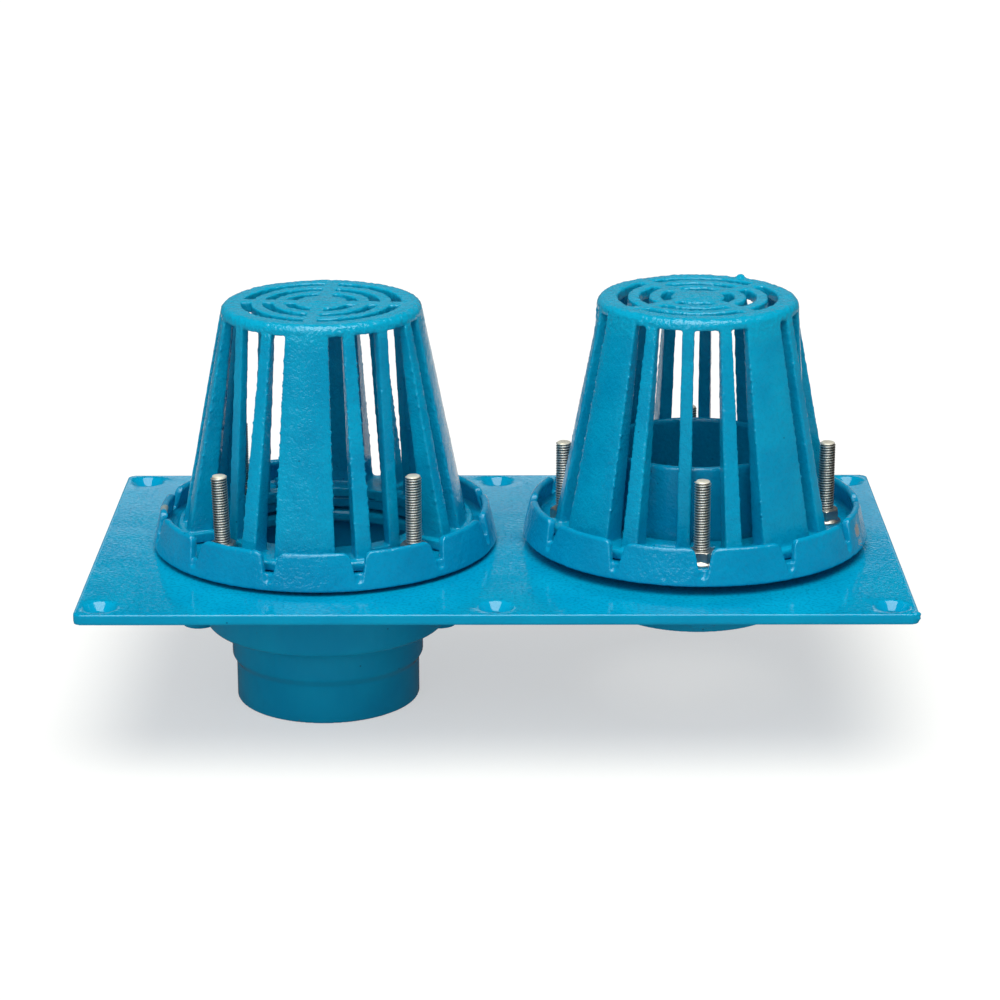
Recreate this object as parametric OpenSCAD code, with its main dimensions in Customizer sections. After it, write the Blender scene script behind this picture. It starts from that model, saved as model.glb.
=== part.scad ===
// Flat roof drain with a main outlet and an overflow outlet, in cast iron.
// A deck plate carries two bowls with outlets. A notched clamp collar is bolted over each bowl,
// and a slotted dome stands in each collar. The overflow has a standpipe inside its dome.
// Millimetres, +Z up. The origin is the centre of the deck bolt pattern, on the deck's underside.

/* [Deck plate] */
// Length of the deck plate
deck_l = 478; // [470:1:560]
// Width of the deck plate
deck_w = 268; // [250:1:340]
// Thickness of the deck plate
deck_t = 6; // [5:0.5:10]
// Radius of the plate's corners
deck_corner_r = 5; // [2:1:12]
// Distance from the plate's edge to its bolt holes
bolt_inset = 14; // [12.5:0.5:18]
// Diameter of the bolt holes
bolt_hole_d = 10.4; // [8:0.2:12]
// Diameter of the countersinks at the deck's top
countersink_d = 20.5; // [15:0.5:22]
// Angle of the countersinks
countersink_angle = 90; // [82:2:120]

/* [Bowls and outlets] */
// Place of the main outlet along the deck
main_x = -103.5; // [-112:0.5:-103]
// Place of the overflow outlet along the deck
overflow_x = 119.5; // [108:0.5:122]
// Outside diameter of the outlets, for a no-hub coupling
outlet_d = 111.3; // [100:0.1:114]
// Wall of the outlets
outlet_wall = 5.6; // [4:0.2:8]
// Depth of the main outlet's end below the deck
main_drop = 91.1; // [85:0.1:130]
// Depth of the overflow outlet's end below the deck
overflow_drop = 33.3; // [31:0.1:60]
// Diameter of the opening in the deck above each bowl
mouth_d = 116; // [113:0.5:119]
// Diameter of a bowl just under the deck
bowl_d = 153; // [148:1:160]
// Diameter of the main bowl at the foot of its side
bowl_foot_d = 146.8; // [140:0.2:152]
// Wall of the bowls
bowl_wall = 6; // [5:0.5:8]
// Depth of the main bowl's side below the deck
main_bowl_depth = 42.5; // [36:0.5:54]
// Depth of the overflow bowl's side below the deck
overflow_bowl_depth = 12.5; // [10:0.5:15]
// Diameter of the neck under each bowl
neck_d = 116.2; // [115:0.2:122]
// Length of the neck under the main bowl
main_neck_l = 16.4; // [10:0.2:24]
// Length of the neck under the overflow bowl
overflow_neck_l = 5; // [2:0.5:6]
// Height of the collar's seat ring above the deck
seat_rise = 2.6; // [1:0.2:5]
// Width of the seat ring
seat_w = 7; // [4:0.5:8]

/* [Clamp collars] */
// Diameter of a collar at its foot
collar_d = 207; // [200:1:208]
// Height of a collar
collar_h = 21.2; // [18:0.2:28]
// How far the rim leans in over its height
rim_lean = 5; // [2:0.5:7]
// Thickness of the rim
rim_t = 4.2; // [3:0.2:5]
// Diameter of the opening through a collar
collar_bore_d = 119.2; // [118:0.2:124]
// Thickness of a collar's floor
floor_t = 6; // [5:0.2:8]
// Number of notches in the rim
notches = 12; // [4:4:16]
// Width of a notch between its rounded shoulders
notch_top_w = 18.4; // [14:0.2:21]
// Width of a notch at its sill
notch_sill_w = 5.8; // [4:0.2:8]
// Depth of a notch
notch_depth = 12.4; // [8:0.2:12.6]
// Radius of a notch's shoulders
notch_shoulder_r = 4.6; // [2:0.2:5.4]
// Drop of the round-ended groove below each sill
flute_drop = 5; // [3:0.5:6]
// Depth of that groove
flute_depth = 1.4; // [0.6:0.1:2]

/* [Studs and nuts] */
// Diameter of the circle that the studs stand on
stud_circle_d = 158; // [156:1:162]
// Diameter of the studs
stud_d = 9.525; // [8:0.025:10.5]
// Length of the studs
stud_l = 76.2; // [70:0.1:90]
// Height of the main studs above the deck
main_stud_rise = 58.5; // [50:0.5:60]
// Height of the overflow studs above the deck
overflow_stud_rise = 62; // [54:0.5:64]
// Lean of the bent main stud, outward
bent_stud_lean = 2; // [0:0.2:4]
// Width of the nuts across their flats
nut_flats = 14.3; // [13:0.1:15.5]
// Height of the nuts with their flange
nut_h = 8.7; // [7:0.1:10]
// Diameter of the nuts' flange
nut_flange_d = 18.6; // [17:0.2:19]

/* [Domes] */
// Height of a dome above the collar's floor
dome_h = 139.7; // [120:0.1:170]
// Diameter of a dome's shoulder, under its flat top
shoulder_d = 118.8; // [116:0.2:124]
// Radius of a dome's shoulder
shoulder_r = 4.7; // [3:0.1:5.5]
// Diameter over the bars where they meet the foot
bars_foot_d = 170; // [164:0.2:173]
// Thickness of the slotted top
top_t = 6; // [5:0.2:9]
// Depth of the bars at the top
bar_depth_top = 4.6; // [4:0.1:5.4]
// Depth of the bars at the foot
bar_depth_foot = 14; // [8:0.1:16]
// Width of the four broad bars, as an angle
broad_bar_angle = 24; // [18:0.2:27]
// Width of the narrow bars, as an angle
narrow_bar_angle = 6.4; // [4:0.1:7]
// Step from a middle narrow bar to its neighbours, as an angle
narrow_bar_step = 21.2; // [18:0.1:23]
// Diameter over the four middle bars at the foot, which stand upright to clear the nuts
middle_bars_d = 137; // [130:0.5:137]
// Depth of the middle bars at the foot
middle_bar_depth = 6; // [5:0.1:8]
// Diameter of the foot's lobes
lobe_d = 178; // [174:1:184]
// Width of a lobe, as an angle
lobe_angle = 59; // [54:0.5:60]
// Thickness of the foot
foot_t = 5.4; // [3:0.1:6]
// Height of the pads under the foot
pad_h = 1; // [0.8:0.1:4]
// Width of a pad, as an angle
pad_angle = 44; // [20:1:50]
// Diameter of the centre disc in the top
centre_d = 31.2; // [20:0.2:34]
// Width of the round slots in the top
top_slot_w = 6.3; // [4:0.1:6.8]
// Pitch of the round slots
top_slot_pitch = 12.8; // [11:0.1:13]
// Width of the bridges across the round slots
bridge_w = 8; // [5:0.5:12]

/* [Standpipe] */
// Outside diameter of the standpipe
pipe_d = 110; // [104:0.5:111]
// Wall of the standpipe
pipe_wall = 4.6; // [3:0.2:7]
// Height of the standpipe's rim above the deck
pipe_rise = 62; // [30:1:100]
// Depth of the standpipe's tail below the deck's top
pipe_tail = 12; // [4:1:18]
// Thickness of its flange, clamped under the overflow collar
pipe_flange_t = 3.2; // [2:0.1:5]

/* [Assembly] */
// Turn of the main studs and collar
main_turn = 44.3; // [-45:0.1:45]
// Turn of the overflow studs and collar
overflow_turn = -0.4; // [-45:0.1:45]
// Turn of the main dome in its collar, from its middle place
main_dome_slip = -4.5; // [-7.5:0.1:7.5]
// Turn of the overflow dome in its collar, from its middle place
overflow_dome_slip = -7.2; // [-7.5:0.1:7.5]
// Sideways shift of the main dome in its collar
main_dome_shift = 0.2; // [-0.5:0.1:0.5]
// Sideways shift of the overflow dome in its collar
overflow_dome_shift = -0.4; // [-0.5:0.1:0.5]
// Turn of the overflow dome's narrow bars off the middles of their quarters
overflow_bar_offset = -1; // [-2:0.1:2]
// Clearance of a stud in its tapped hole and in its nut
thread_gap = 0.1; // [0.05:0.05:0.3]
// Clearance of a stud in its hole in the collar
stud_gap = 1.2; // [1:0.1:2]

/* [Hidden] */
$fn = 96;
eps = 0.01;
over = 1; // how far a cut runs past the face it opens

// Deck and bolts
bolt_dx = deck_l - 2 * bolt_inset;
bolt_dy = deck_w - 2 * bolt_inset;
deck_bolts = [for (x = [-1, 0, 1], y = [-1, 1]) [x * bolt_dx / 2, y * bolt_dy / 2]];

// Bowls
outlet_r = outlet_d / 2;
outlet_bore_r = outlet_r - outlet_wall;
mouth_r = mouth_d / 2;
bowl_r = bowl_d / 2;
neck_r = neck_d / 2;
bowl_draft = (bowl_d - bowl_foot_d) / 2 / main_bowl_depth; // inward lean for each unit of depth
bowl_floor_fall = 4.5; // how far a bowl's floor falls from its side to its neck
neck_chamfer_h = 4;
stud_boss_r = 10;
stud_boss_h = 19;
clamp_lug_r = 10;
clamp_lug_drop = 5; // how far the lugs reach below the main bowl's side
clamp_lug_places = [-78.2, 68.7]; // along X from the main outlet's axis
stud_circle_r = stud_circle_d / 2;
seat_out_r = stud_circle_r - stud_d / 2 - thread_gap - 1;
seat_in_r = seat_out_r - seat_w;
tapped_depth = 20;
main_nut_turns = [0, 20, 40, 60]; // how far round each nut was left
overflow_nut_turns = [30, 47, 64, 81];

// Levels of the collars
deck_top = deck_t;
main_collar_z = deck_top + seat_rise;
overflow_collar_z = main_collar_z + pipe_flange_t;

// Collars
collar_r = collar_d / 2;
collar_bore_r = collar_bore_d / 2;
rim_r = collar_r - rim_lean;
collar_edge_r = 2;

// Domes
shoulder_out_r = shoulder_d / 2;
foot_top = pad_h + foot_t;
bars_top = dome_h - top_t;
bars_foot_r = bars_foot_d / 2;
bar_inner_top_r = shoulder_out_r - bar_depth_top;
foot_in_r = collar_bore_r - 1.2;
nut_clearance = 1.2; // between a nut's flange and a dome
foot_recess_r = stud_circle_r - nut_flange_d / 2 - nut_clearance;
middle_bars_r = min(middle_bars_d / 2, foot_recess_r);
lobe_r = lobe_d / 2;

// Angles
quarter = 90;
half_quarter = quarter / 2;

// A wedge of space about the Z axis, of a given angle, between two radii and two levels
module wedge(angle, r1, r2, z1, z2) {
    t = tan(angle / 2);
    translate([0, 0, z1])
        linear_extrude(z2 - z1)
            polygon([[r1, -r1 * t], [r2, -r2 * t], [r2, r2 * t], [r1, r1 * t]]);
}

// Places its children on the four studs of one outlet
module on_studs(turn) {
    for (i = [0:3])
        rotate(turn + quarter * i)
            translate([stud_circle_r, 0, 0])
                children();
}

// ---- Drain body: one casting ----

// The deck plate, with rounded corners
module deck_plate() {
    r = deck_corner_r;
    linear_extrude(deck_t) {
        square([deck_l - 2 * r, deck_w], center = true);
        square([deck_l, deck_w - 2 * r], center = true);
        for (x = [-1, 1], y = [-1, 1])
            translate([x * (deck_l / 2 - r), y * (deck_w / 2 - r)])
                circle(r);
    }
}

// Radius of a bowl's outside at a depth below the deck
function bowl_side_r(depth) = bowl_r - bowl_draft * depth;

// Half section of the outside of a bowl, its neck and its outlet
module bowl_section(bowl_depth, neck_l, drop) {
    edge = 1.5;
    neck_top = bowl_depth + bowl_floor_fall;
    neck_foot = neck_top + neck_l;
    foot_r = bowl_side_r(bowl_depth);
    polygon([
        [0, deck_t / 2], [bowl_r, deck_t / 2], [bowl_r, 0],
        [foot_r, edge - bowl_depth], [foot_r - edge, -bowl_depth],
        [neck_r, -neck_top], [neck_r, -neck_foot],
        [outlet_r, -neck_foot - neck_chamfer_h],
        [outlet_r, -drop], [0, -drop]
    ]);
}

// Half section of the water way through the deck, a bowl and its outlet
module water_way_section(bowl_depth, drop) {
    side_foot = bowl_depth - bowl_wall;
    floor_z = bowl_depth + bowl_floor_fall - bowl_wall;
    lip = 1.5;
    polygon([
        [0, deck_t + over], [mouth_r + lip, deck_t + over], [mouth_r + lip, deck_t],
        [mouth_r, deck_t - lip], [mouth_r, 0],
        [bowl_r - bowl_wall, -bowl_wall / 2],
        [bowl_side_r(side_foot) - bowl_wall, -side_foot],
        [outlet_bore_r, -floor_z],
        [outlet_bore_r, -drop - over], [0, -drop - over]
    ]);
}

// The two round lugs that take an underdeck clamp, on the main bowl
module clamp_lugs() {
    drop = main_bowl_depth + clamp_lug_drop;
    for (place = clamp_lug_places)
        translate([main_x + place, 0, -drop])
            cylinder(h = drop + deck_t / 2, r = clamp_lug_r);
}

module stud_bosses(turn) {
    on_studs(turn)
        translate([0, 0, -stud_boss_h])
            cylinder(h = stud_boss_h + deck_t / 2, r = stud_boss_r);
}

module seat_ring() {
    translate([0, 0, deck_t / 2])
        rotate_extrude()
            translate([seat_in_r, 0])
                square([seat_w, deck_t / 2 + seat_rise]);
}

module tapped_hole() {
    translate([0, 0, deck_top - tapped_depth])
        cylinder(h = tapped_depth + seat_rise + over, r = stud_d / 2 + thread_gap);
}

module deck_bolt_hole() {
    cone_h = (countersink_d - bolt_hole_d) / 2 / tan(countersink_angle / 2);
    translate([0, 0, -over])
        cylinder(h = deck_t + 2 * over, d = bolt_hole_d);
    translate([0, 0, deck_t - cone_h])
        cylinder(h = cone_h, d1 = bolt_hole_d, d2 = countersink_d);
    translate([0, 0, deck_t - eps])
        cylinder(h = over, d = countersink_d);
}

module drain_body() color("#0a93c4") {
    difference() {
        union() {
            deck_plate();
            translate([main_x, 0, 0]) {
                rotate_extrude() bowl_section(main_bowl_depth, main_neck_l, main_drop);
                stud_bosses(main_turn);
                seat_ring();
            }
            translate([overflow_x, 0, 0]) {
                rotate_extrude() bowl_section(overflow_bowl_depth, overflow_neck_l, overflow_drop);
                stud_bosses(overflow_turn);
                seat_ring();
            }
            clamp_lugs();
        }
        translate([main_x, 0, 0]) {
            rotate_extrude() water_way_section(main_bowl_depth, main_drop);
            for (i = [0:3]) main_stud_place(i) tapped_hole();
        }
        translate([overflow_x, 0, 0]) {
            rotate_extrude() water_way_section(overflow_bowl_depth, overflow_drop);
            on_studs(overflow_turn) tapped_hole();
        }
        for (p = deck_bolts)
            translate([p.x, p.y, 0]) deck_bolt_hole();
    }
}

// ---- Clamp collars ----

// Half section of a collar: floor, leaning wall and rounded rim
module collar_section() {
    rim_top = collar_h - rim_t / 2;
    lean = rim_lean / collar_h;
    edge = 0.6;
    polygon([
        [collar_bore_r, 0], [collar_r - edge, 0], [collar_r, edge],
        [collar_r - lean * rim_top, rim_top],
        [collar_r - lean * rim_top - rim_t, rim_top],
        [collar_r - rim_t - lean * floor_t, floor_t + collar_edge_r],
        [collar_r - rim_t - lean * floor_t - collar_edge_r, floor_t],
        [collar_bore_r + edge, floor_t], [collar_bore_r, floor_t - edge]
    ]);
    translate([collar_r - lean * rim_top - rim_t / 2, rim_top])
        circle(rim_t / 2);
}

// Where the line from a notch's sill corner touches the circle of its shoulder
function touch_point(sill, centre, r) =
    let (
        way = centre - sill,
        reach = norm(way),
        heading = atan2(way.y, way.x) + asin(r / reach),
        length = sqrt(reach * reach - r * r)
    )
    sill + length * [cos(heading), sin(heading)];

// Outline of a notch: a flared slot with rounded shoulders, its sill at the origin
module notch_outline() {
    r = notch_shoulder_r;
    top = notch_depth + over;
    sill = [notch_sill_w / 2, 0];
    centre = [notch_top_w / 2, notch_depth - r];
    touch = touch_point(sill, centre, r);
    difference() {
        polygon([
            [0, 0], sill, touch, centre, [centre.x, top],
            [-centre.x, top], [-centre.x, centre.y], [-touch.x, touch.y], [-sill.x, 0]
        ]);
        for (side = [-1, 1])
            translate([side * centre.x, centre.y]) circle(r);
    }
}

// One notch through the rim, with the round-ended groove below its sill
module notch() {
    sill_z = collar_h - notch_depth;
    lean_angle = atan(rim_lean / collar_h);
    flute_r = notch_sill_w / 2 + flute_depth / 2;
    flute_z = sill_z - flute_drop + sqrt(2 * flute_r * flute_depth - flute_depth * flute_depth);
    wall_r = collar_r - rim_lean / collar_h * flute_z;
    translate([rim_r - rim_t * 2.5, 0, sill_z])
        rotate([90, 0, 90])
            linear_extrude(collar_r)
                notch_outline();
    translate([wall_r, 0, flute_z])
        rotate([0, -lean_angle, 0])
            translate([flute_r - flute_depth, 0, 0]) {
                sphere(flute_r);
                cylinder(h = notch_depth, r = flute_r);
            }
}

module clamp_collar() {
    difference() {
        rotate_extrude() collar_section();
        for (i = [0:notches - 1])
            rotate(360 / notches * i) notch();
        on_studs(0)
            translate([0, 0, -over])
                cylinder(h = floor_t + 2 * over, d = stud_d + 2 * stud_gap);
    }
}

module main_clamp_collar() color("#0a93c4")
    translate([main_x, 0, main_collar_z]) rotate(main_turn) clamp_collar();

module overflow_clamp_collar() color("#0a93c4")
    translate([overflow_x, 0, overflow_collar_z]) rotate(overflow_turn) clamp_collar();

// ---- Domes ----

// The cone of the broad and outer narrow bars, as a hollow solid of revolution
module bar_cone(foot_r, foot_inner_r) {
    rotate_extrude()
        polygon([
            [foot_inner_r, foot_top - 1], [foot_r, foot_top - 1], [foot_r, foot_top],
            [shoulder_out_r, dome_h - shoulder_r], [shoulder_out_r, bars_top + eps],
            [bar_inner_top_r, bars_top + eps], [foot_inner_r, foot_top]
        ]);
}

// The flat top with its rounded shoulder and slightly raised centre
module dome_top() {
    centre_rise = 0.8;
    rotate_extrude() {
        polygon([
            [0, bars_top], [shoulder_out_r, bars_top], [shoulder_out_r, dome_h - shoulder_r],
            [shoulder_out_r - shoulder_r, dome_h], [centre_d / 2, dome_h], [0, dome_h + centre_rise]
        ]);
        intersection() {
            translate([shoulder_out_r - shoulder_r, dome_h - shoulder_r]) circle(shoulder_r);
            translate([shoulder_out_r - shoulder_r, dome_h - shoulder_r]) square(shoulder_r);
        }
    }
}

// The three rings of slots in the top, cut through between the four bridges
module top_slots() {
    for (ring = [0:2]) {
        r = centre_d / 2 + ring * top_slot_pitch;
        difference() {
            translate([0, 0, bars_top - over]) {
                difference() {
                    cylinder(h = top_t + 3 * over, r = r + top_slot_w);
                    translate([0, 0, -over]) cylinder(h = top_t + 5 * over, r = r);
                }
            }
            for (a = [0, quarter])
                rotate(a)
                    translate([-shoulder_out_r, -bridge_w / 2, bars_top - 2 * over])
                        cube([shoulder_d, bridge_w, top_t + 6 * over]);
        }
    }
}

// The wedge that cuts one bar of a given angle out of a cone
module bar_wedge(angle) {
    wedge(angle, bar_inner_top_r / 2, bars_foot_r + 10, foot_top - 1, dome_h);
}

// The bars that flare: four broad ones, and two narrow ones in each quarter between them
module flared_bars(offset) {
    intersection() {
        bar_cone(bars_foot_r, bars_foot_r - bar_depth_foot);
        for (i = [0:3])
            rotate(quarter * i) {
                bar_wedge(broad_bar_angle);
                for (side = [-1, 1])
                    rotate(half_quarter + offset + side * narrow_bar_step)
                        bar_wedge(narrow_bar_angle);
            }
    }
}

// The narrow bar in the middle of each quarter, which stands steeper to clear a nut
module middle_bars(offset) {
    intersection() {
        bar_cone(middle_bars_r, middle_bars_r - middle_bar_depth);
        for (i = [0:3])
            rotate(half_quarter + offset + quarter * i)
                bar_wedge(narrow_bar_angle);
    }
}

// The foot: a flat ring, four broad lobes under the broad bars and four pads under the ring
module dome_foot() {
    low_edge = 0.8;
    top_edge = 1.2;
    translate([0, 0, pad_h])
        rotate_extrude()
            translate([foot_in_r, 0]) square([foot_recess_r - foot_in_r, foot_t]);
    intersection() {
        translate([0, 0, pad_h])
            rotate_extrude()
                polygon([
                    [foot_in_r + 1, 0], [lobe_r - low_edge, 0], [lobe_r, low_edge],
                    [lobe_r, foot_t - top_edge], [lobe_r - top_edge, foot_t], [foot_in_r + 1, foot_t]
                ]);
        for (i = [0:3])
            rotate(quarter * i) wedge(lobe_angle, foot_in_r / 2, lobe_r + 20, 0, foot_top + 1);
    }
    intersection() {
        rotate_extrude()
            translate([foot_in_r, 0]) square([foot_recess_r - foot_in_r, pad_h + foot_t / 2]);
        for (i = [0:3])
            rotate(half_quarter + quarter * i)
                wedge(pad_angle, foot_in_r / 2, lobe_r, -1, foot_top);
    }
}

module dome(bar_offset) {
    difference() {
        dome_top();
        top_slots();
    }
    flared_bars(bar_offset);
    middle_bars(bar_offset);
    dome_foot();
}

module main_dome() color("#0a93c4")
    translate([main_x + main_dome_shift, 0, main_collar_z + floor_t])
        rotate(main_turn + main_dome_slip - half_quarter) dome(0);

module overflow_dome() color("#0a93c4")
    translate([overflow_x + overflow_dome_shift, 0, overflow_collar_z + floor_t])
        rotate(overflow_turn + overflow_dome_slip - half_quarter) dome(overflow_bar_offset);

// ---- Overflow standpipe ----

module overflow_standpipe() color("#0a86b4")
    translate([overflow_x, 0, deck_top])
        rotate_extrude() {
            pipe_r = pipe_d / 2;
            rim_z = pipe_rise - pipe_wall / 2;
            translate([pipe_r - pipe_wall, -pipe_tail])
                square([pipe_wall, pipe_tail + rim_z]);
            translate([pipe_r - pipe_wall / 2, rim_z])
                circle(pipe_wall / 2);
            translate([pipe_r - pipe_wall / 2, seat_rise])
                square([seat_out_r - pipe_r + pipe_wall / 2, pipe_flange_t]);
        }

// ---- Studs and nuts ----

bent_stud = 2; // place of the bent stud in the order of the main studs

// Places its children on one main stud, leaning outward about the deck's top if it is the bent one
module main_stud_place(i) {
    lean = i == bent_stud ? bent_stud_lean : 0;
    rotate(main_turn + quarter * i)
        translate([stud_circle_r, 0, deck_top])
            rotate([0, lean, 0])
                translate([0, 0, -deck_top])
                    children();
}

module overflow_stud_place(i) {
    rotate(overflow_turn + quarter * i)
        translate([stud_circle_r, 0, 0])
            children();
}

module stud(rise) {
    tip = 1;
    translate([0, 0, deck_top + rise - stud_l]) {
        cylinder(h = tip, d1 = stud_d - 2 * tip, d2 = stud_d);
        translate([0, 0, tip]) cylinder(h = stud_l - 2 * tip, d = stud_d);
        translate([0, 0, stud_l - tip]) cylinder(h = tip, d1 = stud_d, d2 = stud_d - 2 * tip);
    }
}

// A hexagon nut with a flange, its foot at the origin
module flange_nut() {
    flange_t = 1.6;
    flange_edge = 0.3;
    skirt_h = 1.4;
    hex_d = nut_flats / cos(30);
    corner_slope = tan(30); // of the chamfer that rounds off the top corners
    face_d = nut_flats - 0.2; // of the round top face that the chamfer leaves
    difference() {
        union() {
            cylinder(h = flange_t, d = nut_flange_d);
            translate([0, 0, flange_t])
                cylinder(h = skirt_h, d1 = nut_flange_d - 2 * flange_edge, d2 = nut_flats);
            intersection() {
                cylinder(h = nut_h, d = hex_d, $fn = 6);
                cylinder(h = nut_h, d1 = face_d + 2 * nut_h / corner_slope, d2 = face_d);
            }
        }
        translate([0, 0, -over])
            cylinder(h = nut_h + 2 * over, d = stud_d + 2 * thread_gap);
    }
}

module main_stud(i) color("#b9b4a8")
    translate([main_x, 0, 0]) main_stud_place(i) stud(main_stud_rise);

module overflow_stud(i) color("#b9b4a8")
    translate([overflow_x, 0, 0]) overflow_stud_place(i) stud(overflow_stud_rise);

// The nut on the bent stud stands on the low edge of its tilted flange
module main_nut(i) color("#a59d92") {
    tilt_lift = i == bent_stud ? nut_flange_d / 2 * tan(bent_stud_lean) : 0;
    translate([main_x, 0, 0])
        main_stud_place(i)
            translate([0, 0, main_collar_z + floor_t + tilt_lift])
                rotate(main_nut_turns[i]) flange_nut();
}

module overflow_nut(i) color("#a59d92")
    translate([overflow_x, 0, 0])
        overflow_stud_place(i)
            translate([0, 0, overflow_collar_z + floor_t])
                rotate(overflow_nut_turns[i]) flange_nut();

drain_body();
main_clamp_collar();
overflow_clamp_collar();
main_dome();
overflow_dome();
overflow_standpipe();
main_stud(0);  // main_stud_1
main_stud(1);  // main_stud_2
main_stud(2);  // main_stud_3
main_stud(3);  // main_stud_4
overflow_stud(0);  // overflow_stud_1
overflow_stud(1);  // overflow_stud_2
overflow_stud(2);  // overflow_stud_3
overflow_stud(3);  // overflow_stud_4
main_nut(0);  // main_nut_1
main_nut(1);  // main_nut_2
main_nut(2);  // main_nut_3
main_nut(3);  // main_nut_4
overflow_nut(0);  // overflow_nut_1
overflow_nut(1);  // overflow_nut_2
overflow_nut(2);  // overflow_nut_3
overflow_nut(3);  // overflow_nut_4
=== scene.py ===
# Flat roof drain in blue enamelled cast iron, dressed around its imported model.
# Lengths in the dictionaries are millimetres, in the drain's own frame, unless a note says otherwise.
import math

import bmesh
import bpy
import numpy as np
from mathutils import Matrix, Vector, noise


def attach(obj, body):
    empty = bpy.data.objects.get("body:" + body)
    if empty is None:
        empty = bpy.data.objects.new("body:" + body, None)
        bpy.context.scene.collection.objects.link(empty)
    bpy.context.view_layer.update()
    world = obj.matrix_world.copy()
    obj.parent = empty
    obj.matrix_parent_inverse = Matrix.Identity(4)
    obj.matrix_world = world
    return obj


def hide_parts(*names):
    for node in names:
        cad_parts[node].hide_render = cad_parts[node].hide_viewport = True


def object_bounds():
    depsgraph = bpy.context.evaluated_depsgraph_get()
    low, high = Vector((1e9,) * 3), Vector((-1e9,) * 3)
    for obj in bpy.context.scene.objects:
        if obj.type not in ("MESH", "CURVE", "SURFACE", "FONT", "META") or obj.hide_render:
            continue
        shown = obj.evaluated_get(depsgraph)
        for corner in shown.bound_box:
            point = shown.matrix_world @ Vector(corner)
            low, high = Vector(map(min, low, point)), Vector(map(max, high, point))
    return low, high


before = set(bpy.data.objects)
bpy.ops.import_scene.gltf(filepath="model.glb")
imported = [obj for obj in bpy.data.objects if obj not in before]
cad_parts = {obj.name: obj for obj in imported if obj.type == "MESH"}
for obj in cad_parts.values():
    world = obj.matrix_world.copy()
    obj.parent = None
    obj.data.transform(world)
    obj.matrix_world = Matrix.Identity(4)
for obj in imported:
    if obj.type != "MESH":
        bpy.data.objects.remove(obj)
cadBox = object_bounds()
mm = 0.001
print("frame loaded:", len(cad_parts), "nodes")


def hexColour(text):
    parts = [int(text[i:i + 2], 16) / 255 for i in (1, 3, 5)]
    return tuple(c / 12.92 if c <= 0.04045 else ((c + 0.055) / 1.055) ** 2.4 for c in parts) + (1.0,)


def addNode(tree, kind, settings=None, **links):
    # settings are the node's own values or its sockets', links go from other nodes' sockets to its own
    node = tree.nodes.new(kind)
    for name, value in (settings or {}).items():
        if hasattr(node, name):
            setattr(node, name, value)
        else:
            node.inputs[int(name) if name.isdigit() else name].default_value = value
    for name, source in links.items():
        socket = name.strip("_").replace("_", " ")
        tree.links.new(source, node.inputs[int(socket) if socket.isdigit() else socket])
    return node


def newMaterial(name):
    material = bpy.data.materials.new(name)
    material.use_nodes = True
    material.node_tree.nodes.clear()
    return material, material.node_tree


# ---- camera ----

camera = {
    "place": (7.6, -1725.4, 578.7),
    "pitchDown": 17.597,  # degrees
    "turn": 0.184,  # degrees, to the left of +Y is positive
    "roll": -0.126,
    "lens": 108.0,
    "sensor": 36.0,
    "reach": 50,  # metres, past the whole floor
}


def makeCamera():
    data = bpy.data.cameras.new("productCamera")
    data.lens = camera["lens"]
    data.sensor_width = camera["sensor"]
    data.clip_end = camera["reach"]
    body = bpy.data.objects.new("productCamera", data)
    bpy.context.scene.collection.objects.link(body)
    body.matrix_world = (
        Matrix.Translation(Vector(camera["place"]) * mm)
        @ Matrix.Rotation(math.radians(camera["turn"]), 4, "Z")
        @ Matrix.Rotation(math.radians(90 - camera["pitchDown"]), 4, "X")
        @ Matrix.Rotation(math.radians(camera["roll"]), 4, "Z")
    )
    bpy.context.scene.camera = body


makeCamera()
print("camera set")


# ---- studio ----

studio = {
    "floorDrop": 0.2,  # below the main outlet's end
    "floorSize": 12000,
    "floorWhite": 0.46,
    "floorLift": 0.52,  # light added to the floor, so that only its shadows are darker than white
    # painted light: in reflections only, the floor is painted bright in a patch far behind the drain and dim
    # near it and elsewhere; no lamp lights that patch
    "floorMirrored": (0.8, 0.1),  # share of its brightness that shows in gloss, in the lit patch and outside it
    "paintedLightPatch": {"centre": (50, 900), "fade": (480, 750)},
    "bandTop": 17.0,  # degrees above the horizon, where the white wall ends
    "bandLow": 15.4,
    "bandLowShare": 0.12,  # of the band's light below that
    "bandBack": (0.82, 0.95),  # how far a direction must point back to meet the band
    "bandSoft": 0.5,
    "wallMatt": (0.7, 0.25),  # light on matt surfaces from the wall and from what is above it
    "wallMirrored": (1.5, 0.01),  # light in reflections from the bright band and from the rest
    "lamps": {
        # direction it comes from (azimuth from the front, elevation), irradiance, angular size, colour
        "overheadBox": {"from": (8, 76), "strength": 2.6, "size": 50, "colour": "#fffff6"},
        "frontBox": {"from": (-22, 38), "strength": 0.75, "size": 44, "colour": "#f8fcff"},
    },
}


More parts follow.
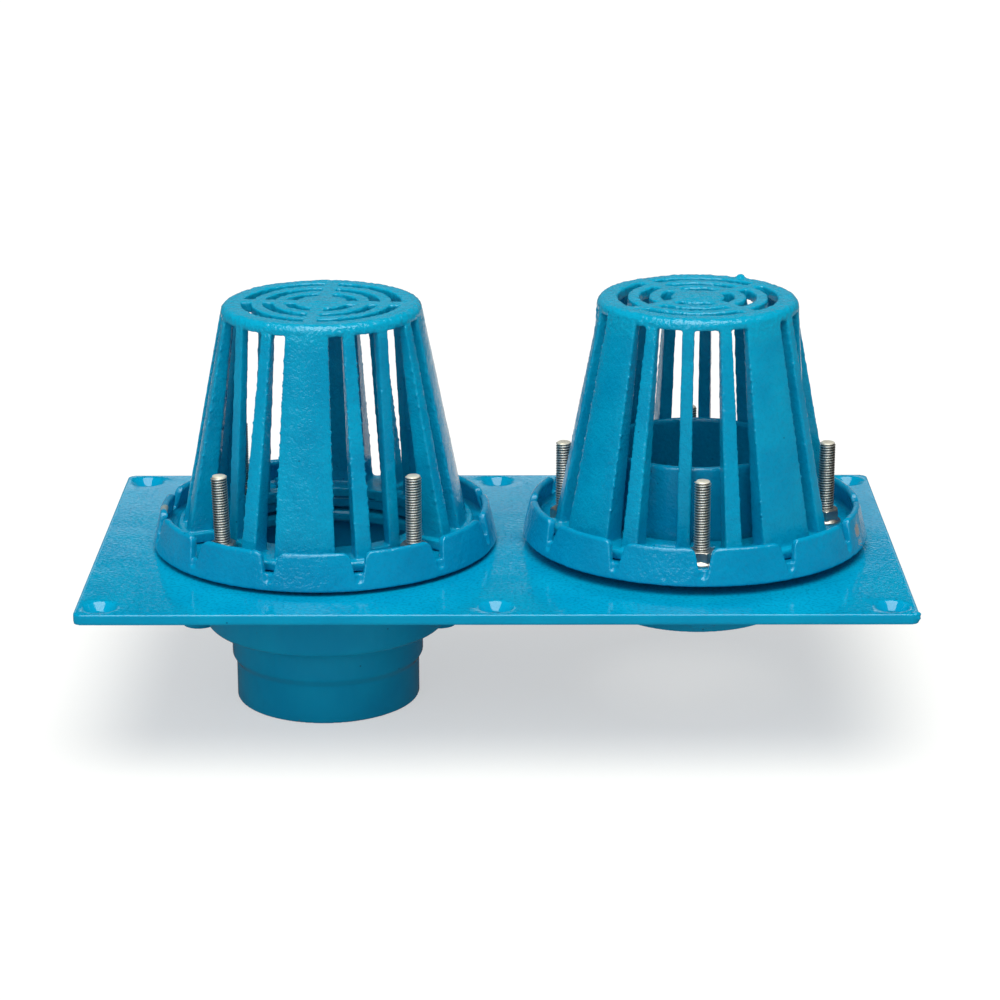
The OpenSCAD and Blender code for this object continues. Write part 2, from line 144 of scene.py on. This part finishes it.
def makeFloor():
    z = cadBox[0][2] - studio["floorDrop"] * mm
    half = studio["floorSize"] * mm / 2
    mesh = bpy.data.meshes.new("studioFloor")
    corners = [(-half, -half, z), (half, -half, z), (half, half, z), (-half, half, z)]
    mesh.from_pydata(corners, [], [(0, 1, 2, 3)])
    floor = bpy.data.objects.new("studioFloor", mesh)
    bpy.context.scene.collection.objects.link(floor)
    paper, tree = newMaterial("whitePaper")
    place = addNode(tree, "ShaderNodeTexCoord")
    # painted light: the floor's brightness in gloss is painted by its distance from that patch
    patch = studio["paintedLightPatch"]
    centre = (patch["centre"][0] * mm, patch["centre"][1] * mm, z)
    away = addNode(tree, "ShaderNodeVectorMath", {"operation": "DISTANCE", "1": centre},
                   _0=place.outputs["Object"])
    bright, dim = studio["floorMirrored"]
    share = addNode(tree, "ShaderNodeMapRange",
                    {"From Min": patch["fade"][0] * mm, "From Max": patch["fade"][1] * mm,
                     "To Min": bright - 1, "To Max": dim - 1}, Value=away.outputs["Value"])
    path = addNode(tree, "ShaderNodeLightPath")
    seen = addNode(tree, "ShaderNodeMath", {"operation": "MULTIPLY_ADD", "2": 1.0},
                   _0=share.outputs[0], _1=path.outputs["Is Glossy Ray"])
    white = addNode(tree, "ShaderNodeMath", {"operation": "MULTIPLY", "1": studio["floorWhite"]},
                    _0=seen.outputs[0])
    matt = addNode(tree, "ShaderNodeBsdfDiffuse", None, Color=white.outputs[0])
    mirrored = addNode(tree, "ShaderNodeMath", {"operation": "MAXIMUM"},
                       _0=path.outputs["Is Camera Ray"], _1=path.outputs["Is Glossy Ray"])
    shown = addNode(tree, "ShaderNodeMath", {"operation": "MAXIMUM"},
                    _0=mirrored.outputs[0], _1=path.outputs["Is Transmission Ray"])
    lift = addNode(tree, "ShaderNodeMath", {"operation": "MULTIPLY", "1": studio["floorLift"]},
                   _0=shown.outputs[0])
    lit = addNode(tree, "ShaderNodeMath", {"operation": "MULTIPLY"}, _0=lift.outputs[0], _1=seen.outputs[0])
    glow = addNode(tree, "ShaderNodeEmission", {"Color": (1, 1, 1, 1)}, Strength=lit.outputs[0])
    both = addNode(tree, "ShaderNodeAddShader", None, _0=matt.outputs[0], _1=glow.outputs[0])
    addNode(tree, "ShaderNodeOutputMaterial", None, Surface=both.outputs[0])
    mesh.materials.append(paper)


def makeWorld():
    # a white wall stands all round, low down; gloss shows its upper part as a bright band and the rest dark
    world = bpy.data.worlds.new("studio")
    world.use_nodes = True
    tree = world.node_tree
    tree.nodes.clear()
    place = addNode(tree, "ShaderNodeTexCoord")
    split = addNode(tree, "ShaderNodeSeparateXYZ", None, Vector=place.outputs["Generated"])
    half = studio["bandSoft"] / 2
    ends = []
    for edge in (studio["bandTop"], studio["bandLow"]):
        ends.append([math.sin(math.radians(edge + side)) for side in (-half, half)])
    wall = addNode(tree, "ShaderNodeMapRange",
                   {"From Min": ends[0][0], "From Max": ends[0][1], "To Min": 1.0, "To Max": 0.0},
                   Value=split.outputs["Z"])
    over = addNode(tree, "ShaderNodeMapRange",
                   {"From Min": ends[1][0], "From Max": ends[1][1], "To Min": studio["bandLowShare"]},
                   Value=split.outputs["Z"])
    side, behind = studio["bandBack"]
    rear = addNode(tree, "ShaderNodeMapRange", {"From Min": side, "From Max": behind}, Value=split.outputs["Y"])
    strip = addNode(tree, "ShaderNodeMath", {"operation": "MULTIPLY"}, _0=wall.outputs[0], _1=over.outputs[0])
    band = addNode(tree, "ShaderNodeMath", {"operation": "MULTIPLY"}, _0=strip.outputs[0], _1=rear.outputs[0])
    white, dark = studio["wallMatt"]
    matt = addNode(tree, "ShaderNodeMapRange", {"To Min": dark, "To Max": white}, Value=wall.outputs[0])
    white, dark = studio["wallMirrored"]
    mirror = addNode(tree, "ShaderNodeMapRange", {"To Min": dark, "To Max": white}, Value=band.outputs[0])
    path = addNode(tree, "ShaderNodeLightPath")
    shade = addNode(tree, "ShaderNodeMix", {"data_type": "FLOAT"}, Factor=path.outputs["Is Glossy Ray"],
                    _2=matt.outputs[0], _3=mirror.outputs[0])
    clear = addNode(tree, "ShaderNodeMath", {"operation": "MAXIMUM"},
                    _0=path.outputs["Is Camera Ray"], _1=path.outputs["Is Transmission Ray"])
    seen = addNode(tree, "ShaderNodeMath", {"operation": "MAXIMUM"}, _0=clear.outputs[0], _1=shade.outputs[0])
    back = addNode(tree, "ShaderNodeBackground", {"Color": (1, 1, 1, 1)}, Strength=seen.outputs[0])
    addNode(tree, "ShaderNodeOutputWorld", None, Surface=back.outputs[0])
    bpy.context.scene.world = world


def makeLamps():
    for name, lamp in studio["lamps"].items():
        data = bpy.data.lights.new(name, "SUN")
        data.energy = lamp["strength"]
        data.angle = math.radians(lamp["size"])
        data.color = hexColour(lamp["colour"])[:3]
        body = bpy.data.objects.new(name, data)
        bpy.context.scene.collection.objects.link(body)
        azimuth, elevation = [math.radians(a) for a in lamp["from"]]
        way = Vector((math.sin(azimuth) * math.cos(elevation), -math.cos(azimuth) * math.cos(elevation),
                      math.sin(elevation)))
        body.rotation_mode = "QUATERNION"
        body.rotation_quaternion = way.to_track_quat("Z", "Y")


makeFloor()
makeWorld()
makeLamps()
print("studio lit")


# ---- materials ----

enamel = {
    "mottle": 30,  # size of the patches where the coat is thicker or thinner
    "mottleEnds": (0.35, 0.65),  # of the noise, where the two shades are reached
    # the creases between pebbles and the small pits are painted darker, towards the pits' dark blue, as painted
    # shade
    "creaseShadeField": (0.5, 0.36),  # of the pebbles' noise, from its edge to the bottom of a crease
    "roughSpread": (-0.03, 0.04),
    "pit": 13,  # spacing of the small dark pits
    "pitSize": (0.3, 0.7),
    "pitShare": 0.8,
    "pitShadeColour": "#01577c",
    # spotEdge and spotDull serve every spot below, also the painted reflection on the right collar
    "spotEdge": (1.1, 0.8),  # of a bare spot's radius, where the coat starts to thin and where it is gone
    "spotWobble": 6,  # how far the grit shakes that edge
    "spotDull": 0.35,  # roughness that bare iron adds
    "ior": 1.5,
}

castSkins = {
    # shades are the coat's colour where it is thick and where it is thin
    # pebble and grit are sizes, drawn a little coarser than real so that they show
    # crease is how far the lines between pebbles are painted towards the pits' dark colour, as painted shade
    # the pebbled skin's crown colour paints the domes' flat tops paler, as painted light
    "glossEnamelOnPebbledCastIron": {"shades": ("#0093bf", "#02a0ca"), "pebble": 1.8, "pebbleHeight": 0.27,
                                     "grit": 0.9, "gritHeight": 0.06, "roughness": 0.14, "crease": 0.1,
                                     "crown": (140, 149), "crownPaintedLight": "#04a3cb", "crownHeight": 0.5},
    "glossEnamelOnSmoothCastIron": {"shades": ("#008bb8", "#0195c2"), "pebble": 1.9, "pebbleHeight": 0.28,
                                    "grit": 0.8, "gritHeight": 0.07, "roughness": 0.12, "crease": 0.1},
    "glossEnamelOnFlatCastIron": {"shades": ("#0098c5", "#02a0cb"), "pebble": 2.0, "pebbleHeight": 0.045,
                                  "grit": 1.0, "gritHeight": 0.008, "roughness": 0.06, "crease": 0.3,
                                  "creaseShadeFrom": 5.6},
}

bareSpots = {
    # name: centre, radius and colour of spots on the coat: rust and bare iron where it is gone, and on the
    # right collar a painted reflection and a grey spot
    "outletRust": {"centre": (-116, -54, -90), "radius": 4.2, "colour": "#6a4030"},
    # painted reflection: a pale pinkish grey spot where the wall's sheen shows on the collar's side at a glance
    "collarPaintedSheen": {"centre": (217, -33, 27), "radius": 4.2, "colour": "#9a9694"},
    # a grey spot lower on the same side
    "collarGreySpotLow": {"centre": (217, -33, 19), "radius": 2.8, "colour": "#8c8a8b"},
    "notchPatch": {"centre": (-194, -5, 30), "radius": 6.0, "colour": "#8d9a98"},
}


def spotMask(tree, place, spot, wobble):
    centre = tuple(c * mm for c in spot["centre"])
    moved = addNode(tree, "ShaderNodeVectorMath", {"operation": "ADD"}, _0=place, _1=wobble)
    away = addNode(tree, "ShaderNodeVectorMath", {"operation": "DISTANCE", "1": centre}, _0=moved.outputs[0])
    coated, gone = [spot["radius"] * mm * share for share in enamel["spotEdge"]]
    return addNode(tree, "ShaderNodeMapRange", {"From Min": coated, "From Max": gone},
                   Value=away.outputs["Value"]).outputs[0]


def makeEnamel(name):
    # cast iron dipped in glossy epoxy enamel: a saturated blue that goes pale where it mirrors the studio at a
    # glance; the sand's pebbles under the coat break that up and spark along the edges, and their creases and
    # small pits are painted darker as painted shade
    skin = castSkins[name]
    material, tree = newMaterial(name)
    place = addNode(tree, "ShaderNodeTexCoord").outputs["Object"]
    mottle = addNode(tree, "ShaderNodeTexNoise", {"Scale": 1 / (enamel["mottle"] * mm), "Detail": 2.0},
                     Vector=place)
    coat = addNode(tree, "ShaderNodeValToRGB", None, Fac=mottle.outputs["Fac"])
    for stop, position, shade in zip(coat.color_ramp.elements, enamel["mottleEnds"], skin["shades"]):
        stop.position = position
        stop.color = hexColour(shade)
    pebbles = addNode(tree, "ShaderNodeTexNoise",
                      {"Scale": 1 / (skin["pebble"] * mm), "Detail": 1.0, "Roughness": 0.5}, Vector=place)
    grit = addNode(tree, "ShaderNodeTexNoise",
                   {"Scale": 1 / (skin["grit"] * mm), "Detail": 1.0, "Roughness": 0.6}, Vector=place)
    # painted shade: the creases between pebbles are painted darker; on the plate's top this also stands in for
    # the pebbles' broken-up sheen
    edge, bottom = enamel["creaseShadeField"]
    crease = addNode(tree, "ShaderNodeMapRange",
                     {"From Min": edge, "From Max": bottom, "To Max": skin["crease"]},
                     Value=pebbles.outputs["Fac"])
    # painted shade: small pits painted in a darker blue
    pitField = addNode(tree, "ShaderNodeTexVoronoi", {"Scale": 1 / (enamel["pit"] * mm)}, Vector=place)
    small, large = [size / enamel["pit"] for size in enamel["pitSize"]]
    pits = addNode(tree, "ShaderNodeMapRange",
                   {"From Min": large, "From Max": small, "To Max": enamel["pitShare"]},
                   Value=pitField.outputs["Distance"])
    if "creaseShadeFrom" in skin:
        # only the plate's top gets this painted crease shade, as only it is pebbled enough for that
        split = addNode(tree, "ShaderNodeSeparateXYZ", None, Vector=place)
        upper = addNode(tree, "ShaderNodeMath", {"operation": "GREATER_THAN", "1": skin["creaseShadeFrom"] * mm},
                        _0=split.outputs["Z"])
        crease = addNode(tree, "ShaderNodeMath", {"operation": "MULTIPLY"},
                         _0=crease.outputs[0], _1=upper.outputs[0])
    # both painted shades take the coat towards the pits' dark blue
    paintedShadeShare = addNode(tree, "ShaderNodeMath", {"operation": "MAXIMUM"}, _0=crease.outputs[0], _1=pits.outputs[0])
    shaded = addNode(tree, "ShaderNodeMix", {"data_type": "RGBA", "7": hexColour(enamel["pitShadeColour"])},
                     Factor=paintedShadeShare.outputs[0], _6=coat.outputs["Color"])
    colour = shaded.outputs[2]
    shake = addNode(tree, "ShaderNodeVectorMath",
                    {"operation": "SCALE", "Scale": enamel["spotWobble"] * mm}, _0=grit.outputs["Color"])
    # spots painted over the coat: rust and bare iron, and on the right collar a painted reflection and a grey
    # spot
    bare = None
    for spot in bareSpots.values():
        mask = spotMask(tree, place, spot, shake.outputs[0])
        mix = addNode(tree, "ShaderNodeMix", {"data_type": "RGBA", "7": hexColour(spot["colour"])},
                      Factor=mask, _6=colour)
        colour = mix.outputs[2]
        if bare is None:
            bare = mask
        else:
            bare = addNode(tree, "ShaderNodeMath", {"operation": "MAXIMUM"}, _0=bare, _1=mask).outputs[0]
    glossiest, dullest = [skin["roughness"] + more for more in enamel["roughSpread"]]
    rough = addNode(tree, "ShaderNodeMapRange",
                    {"From Min": 0.3, "From Max": 0.7, "To Min": glossiest, "To Max": dullest},
                    Value=grit.outputs["Fac"])
    dull = addNode(tree, "ShaderNodeMath", {"operation": "MULTIPLY_ADD", "1": enamel["spotDull"]},
                   _0=bare, _2=rough.outputs[0])
    low = addNode(tree, "ShaderNodeBump", {"Strength": 1.0, "Distance": skin["pebbleHeight"] * mm},
                  Height=pebbles.outputs["Fac"])
    if "crown" in skin:
        # the flat top came out rougher, and is painted paler than the sides as painted light, for the light
        # that falls on it up there
        bottom, top = skin["crown"]
        split = addNode(tree, "ShaderNodeSeparateXYZ", None, Vector=place)
        crown = addNode(tree, "ShaderNodeMapRange", {"From Min": bottom * mm, "From Max": top * mm},
                        Value=split.outputs["Z"])
        height = addNode(tree, "ShaderNodeMapRange",
                         {"To Min": skin["pebbleHeight"] * mm, "To Max": skin["crownHeight"] * mm},
                         Value=crown.outputs[0])
        tree.links.new(height.outputs[0], low.inputs["Distance"])
        paler = addNode(tree, "ShaderNodeMix", {"data_type": "RGBA", "7": hexColour(skin["crownPaintedLight"])},
                        Factor=crown.outputs[0], _6=coat.outputs["Color"])
        tree.links.new(paler.outputs[2], shaded.inputs[6])
    fine = addNode(tree, "ShaderNodeBump", {"Strength": 1.0, "Distance": skin["gritHeight"] * mm},
                   Height=grit.outputs["Fac"], Normal=low.outputs[0])
    shader = addNode(tree, "ShaderNodeBsdfPrincipled", {"IOR": enamel["ior"]},
                     Base_Color=colour, Roughness=dull.outputs[0], Normal=fine.outputs[0])
    addNode(tree, "ShaderNodeOutputMaterial", None, Surface=shader.outputs[0])
    return material


studSteel = {
    # the crest and groove colours are painted highlight on the thread's crests and painted shade in its grooves
    "crest": "#f6f6f0",
    "groove": "#77756f",
    "roughness": 0.5,
    "tip": "#f6f0e0",
    "tipLength": 2.0,
    "tipMetal": 0.5,  # the cut end is dull, so less of what it shows is mirrored
}


def makeStudSteel():
    # rolled steel thread: crests painted bright and grooves painted dark, as painted highlight and painted
    # shade, and a paler, faintly straw-coloured tip
    material, tree = newMaterial("rolledThreadSteel")
    crest = addNode(tree, "ShaderNodeAttribute", {"attribute_name": "crest"})
    tip = addNode(tree, "ShaderNodeAttribute", {"attribute_name": "tip"})
    # painted light: the crest attribute picks the bright colour on crests and the dark one in grooves
    dark, pale = hexColour(studSteel["groove"]), hexColour(studSteel["crest"])
    base = addNode(tree, "ShaderNodeMix", {"data_type": "RGBA", "6": dark, "7": pale},
                   Factor=crest.outputs["Fac"])
    warm = addNode(tree, "ShaderNodeMix", {"data_type": "RGBA", "7": hexColour(studSteel["tip"])},
                   Factor=tip.outputs["Fac"], _6=base.outputs[2])
    bare = addNode(tree, "ShaderNodeMapRange", {"To Min": 1.0, "To Max": studSteel["tipMetal"]},
                   Value=tip.outputs["Fac"])
    shader = addNode(tree, "ShaderNodeBsdfPrincipled", {"Roughness": studSteel["roughness"]},
                     Base_Color=warm.outputs[2], Metallic=bare.outputs[0])
    addNode(tree, "ShaderNodeOutputMaterial", None, Surface=shader.outputs[0])
    return material


nutSteel = {
    "colour": "#e0d9d2",
    "dull": "#b4b5ab",
    "patch": 3.0,  # size of the cloudy patches
    "roughness": (0.28, 0.48),  # where it is bright and where it has dulled
}


def makeNutSteel():
    # zinc plated steel: a faintly pink grey that is cloudy where the plating has dulled
    material, tree = newMaterial("zincPlatedSteel")
    place = addNode(tree, "ShaderNodeTexCoord").outputs["Object"]
    cloud = addNode(tree, "ShaderNodeTexNoise", {"Scale": 1 / (nutSteel["patch"] * mm), "Detail": 3.0},
                    Vector=place)
    clean, dull = hexColour(nutSteel["colour"]), hexColour(nutSteel["dull"])
    base = addNode(tree, "ShaderNodeMix", {"data_type": "RGBA", "6": clean, "7": dull},
                   Factor=cloud.outputs["Fac"])
    bright, dulled = nutSteel["roughness"]
    rough = addNode(tree, "ShaderNodeMapRange", {"To Min": bright, "To Max": dulled},
                    Value=cloud.outputs["Fac"])
    shader = addNode(tree, "ShaderNodeBsdfPrincipled", {"Metallic": 1.0}, Base_Color=base.outputs[2],
                     Roughness=rough.outputs[0])
    addNode(tree, "ShaderNodeOutputMaterial", None, Surface=shader.outputs[0])
    return material


finishes = {
    "pebbled": makeEnamel("glossEnamelOnPebbledCastIron"),
    "smooth": makeEnamel("glossEnamelOnSmoothCastIron"),
    "flat": makeEnamel("glossEnamelOnFlatCastIron"),
    "stud_steel": makeStudSteel(),
    "nut_steel": makeNutSteel(),
}
print("materials made")


# ---- castings ----

castings = {
    # voxel is the remesh's cell, so an edge comes out about as round as the sand leaves it
    # lumps and waves are the heights of two sizes of unevenness, and coat is the enamel's thickness
    "drain_body": {"skin": "flat", "voxel": 0.8, "triangles": 195000, "soften": 1,
                   "lumps": 0.0, "waves": 0.1, "coat": 0.1},
    "main_clamp_collar": {"skin": "smooth", "voxel": 0.6, "triangles": 110000, "soften": 1,
                          "lumps": 0.4, "waves": 0.5, "coat": 0.2},
    "overflow_clamp_collar": {"skin": "smooth", "voxel": 0.6, "triangles": 110000, "soften": 1,
                              "lumps": 0.4, "waves": 0.5, "coat": 0.2},
    "main_dome": {"skin": "pebbled", "voxel": 0.72, "triangles": 185000, "soften": 1,
                  "lumps": 0.4, "waves": 0.4, "coat": 0.25},
    "overflow_dome": {"skin": "pebbled", "voxel": 0.72, "triangles": 185000, "soften": 1,
                      "lumps": 0.4, "waves": 0.4, "coat": 0.25},
    "overflow_standpipe": {"skin": "smooth", "voxel": 0.75, "triangles": 40000, "soften": 2,
                           "lumps": 0.2, "waves": 0.4, "coat": 0.15},
}

castUneven = {"lumpSize": 4.5, "waveSize": 30}

domeBars = {
    # angles are degrees from the front, counted towards the overflow; flash is how far it stands out of an edge
    "main_dome": {"centre": -103.3, "broad": -5.2, "flash": 0.7},
    "overflow_dome": {"centre": 119.1, "broad": -52.6, "flash": 1.2},
    "edges": (-12, 12, 20.6, 27.0, 41.8, 48.2, 63.0, 69.4),  # from a broad bar's middle, and again every 90
    "flashReach": 1.1,  # to each side of the edge
    "flashDepth": (2.2, 0.6),  # in from the bar's outer face, where it starts and where it is full
    "flashFoot": (34, 42),  # heights between which it starts
    "flashTop": (134, 140),  # and ends
    "flashPeriod": 7.0,
    "flashWaves": (1.0, 1.9, 3.1),  # shares of that period that add up to the ragged line
    "flashCut": (0.3, 1.4),  # of those waves' sum, from no flash to full flash
    "flashLeast": 0.3,  # share of the full flash that the smoothest edge has
    "crown": (138, 148),  # heights between which the flat top's pebbles begin
    "crownPebble": 2.2,
    "crownPebbleHeight": 0.34,
    "seed": 41,
}

castMarks = {
    # name: the casting it is on, centre, radius, and how far the iron stands out there
    "collarBurr": {"node": "overflow_clamp_collar", "centre": (218, -36, 16), "radius": 4.5, "height": 2.6},
    "plateNub": {"node": "drain_body", "centre": (239, -132, 4), "radius": 4.0, "height": 2.2},
    "domeBurr": {"node": "overflow_dome", "centre": (148, 48, 158), "radius": 4.5, "height": 2.4},
}

markGrain = {"size": 1.6, "least": 0.7, "spread": 0.6}  # how the marks' height varies


def addUneven(piece, name, size, height, lift=0.0):
    # pushes the skin in and out by noise of that size, and out by lift
    cloud = bpy.data.textures.new(name, "CLOUDS")
    cloud.noise_scale = size * mm
    cloud.noise_depth = 1
    push = piece.modifiers.new(name, "DISPLACE")
    push.texture = cloud
    push.texture_coords = "LOCAL"
    push.strength = max(height, 0.001) * mm
    push.mid_level = 0.5 - lift / max(height, 0.001)


def bake(piece):
    # turns the piece's modifiers into plain mesh
    graph = bpy.context.evaluated_depsgraph_get()
    graph.update()
    mesh = bpy.data.meshes.new_from_object(piece.evaluated_get(graph))
    piece.modifiers.clear()
    old = piece.data
    piece.data = mesh
    bpy.data.meshes.remove(old)


def triangleCount(mesh):
    return sum(len(p.vertices) - 2 for p in mesh.polygons)


def dressPiece(piece, node, finish):
    piece.data.materials.clear()
    piece.data.materials.append(finishes[finish])
    piece.data.polygons.foreach_set("use_smooth", [True] * len(piece.data.polygons))
    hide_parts(node)
    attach(piece, "root")


def weldedCopy(node, name):
    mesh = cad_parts[node].data.copy()
    work = bmesh.new()
    work.from_mesh(mesh)
    bmesh.ops.remove_doubles(work, verts=work.verts, dist=0.01 * mm)
    work.to_mesh(mesh)
    work.free()
    piece = bpy.data.objects.new(name, mesh)
    bpy.context.scene.collection.objects.link(piece)
    return piece


def smoothStep(values, low, high):
    share = np.clip((values - low) / (high - low), 0, 1)
    return share * share * (3 - 2 * share)


def addFlash(points, normals, dome):
    # ragged iron along the bars' outer edges, where the mould's halves met, and pebbles on the flat top
    x, y, z = points[:, 0] - dome["centre"], points[:, 1], points[:, 2]
    radius = np.hypot(x, y)
    angle = np.degrees(np.arctan2(x, -y))
    rows = np.clip(z.astype(int), 0, 200)
    reach = np.zeros(201)
    np.maximum.at(reach, rows, radius)
    start, full = domeBars["flashDepth"]
    outer = smoothStep(radius, reach[rows] - start, reach[rows] - full)
    outer *= smoothStep(z, *domeBars["flashFoot"]) * (1 - smoothStep(z, *domeBars["flashTop"]))
    chance = np.random.default_rng(domeBars["seed"])
    for quarter in range(4):
        for count, edge in enumerate(domeBars["edges"]):
            away = (angle - dome["broad"] - 90 * quarter - edge + 180) % 360 - 180
            along = np.radians(away) * radius
            near = np.exp(-(along / domeBars["flashReach"]) ** 2) * outer
            ragged = np.zeros(len(z))
            for part in domeBars["flashWaves"]:
                shift = chance.uniform(0, math.tau)
                ragged += np.sin(math.tau * z * part / domeBars["flashPeriod"] + shift) / part
            ragged = smoothStep(ragged, *domeBars["flashCut"]) * chance.uniform(domeBars["flashLeast"], 1.0)
            side = -1.0 if count % 2 == 0 else 1.0
            push = near * ragged * dome["flash"] * side
            points[:, 0] += push * np.cos(np.radians(angle))
            points[:, 1] += push * np.sin(np.radians(angle))
    top = smoothStep(z, *domeBars["crown"])
    for i in np.nonzero(top > 0)[0]:
        bump = noise.noise(Vector(points[i]) / domeBars["crownPebble"]) * domeBars["crownPebbleHeight"] * top[i]
        points[i] += normals[i] * bump


def addMark(points, normals, mark):
    away = np.linalg.norm(points - np.array(mark["centre"]), axis=1) / mark["radius"]
    for i in np.nonzero(away < 1)[0]:
        rough = markGrain["least"] + markGrain["spread"] * noise.noise(Vector(points[i]) / markGrain["size"])
        points[i] += normals[i] * mark["height"] * (1 - away[i] ** 2) ** 2 * rough


def roughen(piece, node):
    mesh = piece.data
    points, normals = np.empty(len(mesh.vertices) * 3), np.empty(len(mesh.vertices) * 3)
    mesh.vertices.foreach_get("co", points)
    mesh.vertices.foreach_get("normal", normals)
    points, normals = points.reshape(-1, 3) / mm, normals.reshape(-1, 3)
    if node in domeBars:
        addFlash(points, normals, domeBars[node])
    for mark in castMarks.values():
        if mark["node"] == node:
            addMark(points, normals, mark)
    mesh.vertices.foreach_set("co", (points * mm).ravel())
    mesh.update()


def remeshPiece(piece, voxel, soften):
    cells = piece.modifiers.new("cells", "REMESH")
    cells.mode = "VOXEL"
    cells.voxel_size = voxel * mm
    smooth = piece.modifiers.new("soften", "SMOOTH")
    smooth.iterations = soften


def thinPiece(piece, triangles):
    full = triangleCount(piece.data)
    if full > triangles:
        thin = piece.modifiers.new("thin", "DECIMATE")
        thin.ratio = triangles / full
        bake(piece)
    return full


def makeCasting(node, settings):
    piece = weldedCopy(node, node + "_casting")
    remeshPiece(piece, settings["voxel"] * (1.0), settings["soften"])
    addUneven(piece, "lumps", castUneven["lumpSize"], settings["lumps"])
    addUneven(piece, "waves", castUneven["waveSize"], settings["waves"], settings["coat"])
    bake(piece)
    roughen(piece, node)
    full = thinPiece(piece, settings["triangles"])
    dressPiece(piece, node, settings["skin"])
    print("  ", node, full, "->", triangleCount(piece.data), "triangles")


for node, settings in castings.items():
    makeCasting(node, settings)
print("castings made")


# ---- studs ----

thread = {
    "pitch": 25.4 / 16,
    "majorRadius": 4.76,
    "depth": 0.95,
    "crest": 0.16,  # share of the pitch that is flat on top
    "root": 0.22,
    "sides": 24,
    "chamfer": 0.6,
    "endInset": 0.25,  # how much smaller than the thread's root the end face is, in radius
    "weld": 0.004,
}


def studEnds(node):
    # centres of the two end faces, so a leaning stud keeps its lean
    points = np.array([v.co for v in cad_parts[node].data.vertices])
    centre = points.mean(axis=0)
    axis = np.linalg.svd(points - centre, full_matrices=False)[2][0]
    axis = axis if axis[2] > 0 else -axis
    along = (points - centre) @ axis
    low, high = along.min(), along.max()
    return Vector(centre + axis * low), Vector(centre + axis * high)


def makeStud(node):
    foot, top = studEnds(node)
    length = (top - foot).length / mm
    pitch, sides = thread["pitch"], thread["sides"]
    outer, inner = thread["majorRadius"], thread["majorRadius"] - thread["depth"]
    flank = (1 - thread["crest"] - thread["root"]) / 2
    # one pitch of the thread: place along it as a share, radius and whether it is a crest
    profile = [(0.0, inner, 0.0), (flank, outer, 1.0), (flank + thread["crest"], outer, 1.0),
               (1.0 - thread["root"], inner, 0.0)]
    turns = math.ceil(length / pitch) + 1
    rows = turns * len(profile)
    points, crests, tips = [], [], []
    for row in range(rows):
        share, radius, crest = profile[row % len(profile)]
        start = (row // len(profile) - 1 + share) * pitch
        for side in range(sides):
            z = min(max(start + pitch * side / sides, 0), length)
            edge = min(z, length - z) / thread["chamfer"]
            r = min(radius, inner - thread["endInset"] + edge * (outer - inner + thread["endInset"]))
            angle = math.tau * side / sides
            points.append((r * math.cos(angle), r * math.sin(angle), z))
            crests.append(crest)
            tips.append(max(0.0, 1 - (length - z) / studSteel["tipLength"]))
    faces = []
    for row in range(rows - 1):
        for side in range(sides - 1):
            a = row * sides + side
            faces.append((a, a + 1, a + sides + 1, a + sides))
    # the last side of a row meets the first side of the row one pitch further on
    step = len(profile)
    for row in range(rows - step - 1):
        a = row * sides + sides - 1
        b = (row + step) * sides
        faces.append((a, b, b + sides, a + sides))
    mesh = bpy.data.meshes.new(node + "_thread")
    mesh.from_pydata(points, [], faces)
    for name, values in (("crest", crests), ("tip", tips)):
        layer = mesh.attributes.new(name, "FLOAT", "POINT")
        layer.data.foreach_set("value", values)
    work = bmesh.new()
    work.from_mesh(mesh)
    bmesh.ops.remove_doubles(work, verts=work.verts, dist=thread["weld"])
    bmesh.ops.dissolve_degenerate(work, edges=work.edges, dist=thread["weld"])
    bmesh.ops.holes_fill(work, edges=work.edges, sides=0)
    bmesh.ops.recalc_face_normals(work, faces=work.faces)
    work.to_mesh(mesh)
    work.free()
    axis = (top - foot).normalized()
    mesh.transform(Matrix.Translation(foot) @ axis.to_track_quat("Z", "Y").to_matrix().to_4x4()
                   @ Matrix.Scale(mm, 4))
    piece = bpy.data.objects.new(node + "_thread", mesh)
    bpy.context.scene.collection.objects.link(piece)
    dressPiece(piece, node, "stud_steel")


for node in sorted(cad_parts):
    if "_stud_" in node:
        makeStud(node)
print("studs threaded")


# ---- nuts ----

nut = {"voxel": 0.32, "soften": 2, "triangles": 5000}


def makeNut(node):
    piece = weldedCopy(node, node + "_plated")
    remeshPiece(piece, nut["voxel"], nut["soften"])
    bake(piece)
    thinPiece(piece, nut["triangles"])
    dressPiece(piece, node, "nut_steel")


for node in sorted(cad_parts):
    if "_nut_" in node:
        makeNut(node)
print("nuts plated")

bpy.context.scene.view_settings.view_transform = "Standard"
